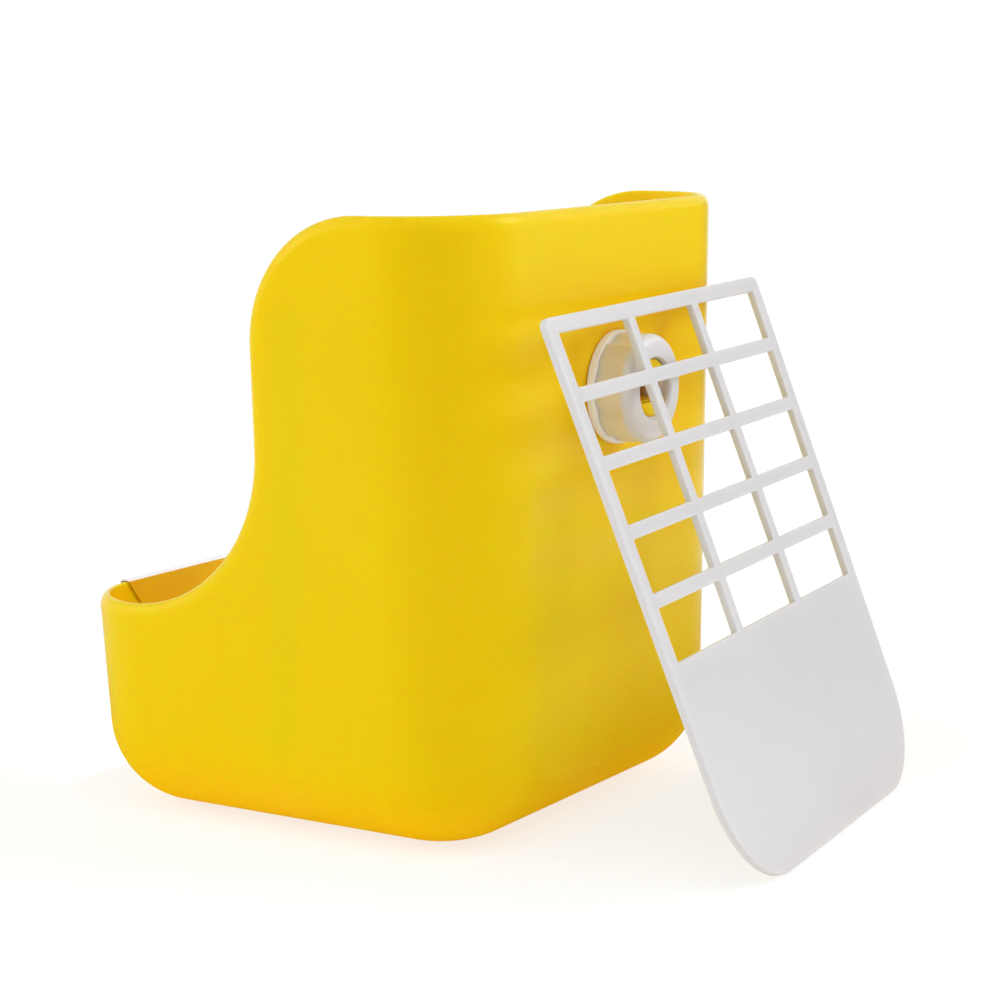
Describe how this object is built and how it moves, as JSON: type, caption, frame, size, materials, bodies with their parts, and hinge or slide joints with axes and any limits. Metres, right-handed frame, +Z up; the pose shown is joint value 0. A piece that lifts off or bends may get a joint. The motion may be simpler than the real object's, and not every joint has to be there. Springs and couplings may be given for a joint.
{
  "type": "hay feeder box",
  "caption": "Moulded hay and food feeder for small pets: low bowl in front, tall hay box behind, lift-out slotted grille, steel chew guard and a screw clamp for a cage wall.",
  "frame": {"origin": "on the ground under the middle of the tub", "axes": "+Z up; -Y is the front with the food bowl; +Y is the back wall with the threaded stud, the washer and the hand nut; +X is the side wall that is nearest in the picture"},
  "size_m": [0.1627, 0.2135, 0.175],
  "materials": {
    "tub_plastic": "glossy moulded yellow plastic",
    "guard_steel": "bright rolled stainless sheet",
    "grille_plastic": "satin white plastic",
    "washer_plastic": "natural milky plastic",
    "nut_plastic": "ivory moulded plastic"
  },
  "bodies": {
    "tub": {"feeder_tub": "tub_plastic", "chew_guard": "guard_steel"},
    "washer": {"clamp_washer": "washer_plastic"},
    "nut": {"hand_nut": "nut_plastic"},
    "grille": {"hay_grille": "grille_plastic"}
  },
  "joints": [
    {"name": "washer_slide", "type": "slide", "parent": "tub", "child": "washer", "axis": [0, 1, 0], "range_m": [0, 0.01]},
    {"name": "nut_turn", "type": "hinge", "parent": "washer", "child": "nut", "pos_m": [0.0015, 0.0795, 0.124], "axis": [0, 1, 0], "range_deg": [0, 900.1]},
    {"name": "grille_lift", "type": "slide", "parent": "washer", "child": "grille", "axis": [0, 0, 1], "range_m": [0, 0.18]}
  ],
  "couplings": [
    {"joint": "nut_turn", "follows": "washer_slide", "rad_per_m": 1570.8}
  ]
}
